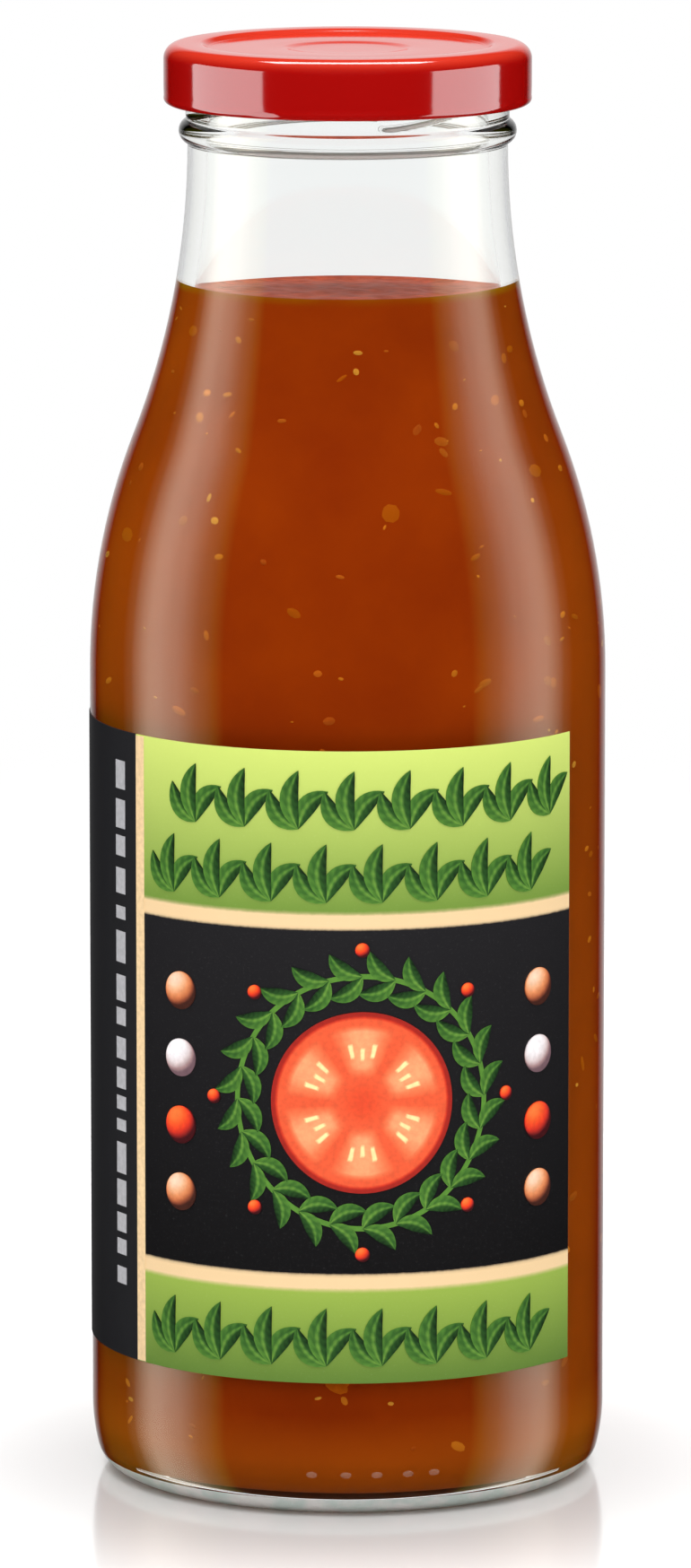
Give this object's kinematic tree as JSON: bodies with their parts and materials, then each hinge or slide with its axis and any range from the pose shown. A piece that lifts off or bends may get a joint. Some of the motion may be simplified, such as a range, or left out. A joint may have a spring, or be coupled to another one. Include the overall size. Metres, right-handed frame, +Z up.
{
  "type": "jar of tomato pulp",
  "caption": "Tall round-shouldered clear glass jar filled with tomato pulp, closed by a red twist-off metal lid, with a wrap-around paper label.",
  "frame": {"origin": "centre of the base, on the surface that the jar stands on", "axes": "+Z up along the jar's axis; -Y is the front, which the middle of the label's main panel faces; +X to the right of it"},
  "size_m": [0.0711, 0.0712, 0.1982],
  "materials": {
    "glass": "clear flint glass, smooth and glossy",
    "lid_enamel": "glossy red enamel on tinplate",
    "seal_compound": "smooth sealing compound",
    "pulp": "wet, orange-red, opaque, with seeds and bits",
    "label_paper": "coated paper, printed, satin"
  },
  "bodies": {
    "root": {"glass_jar": "glass", "lid": "lid_enamel", "lid_seal": "seal_compound", "tomato_pulp": "pulp", "label": "label_paper"}
  },
  "joints": []
}
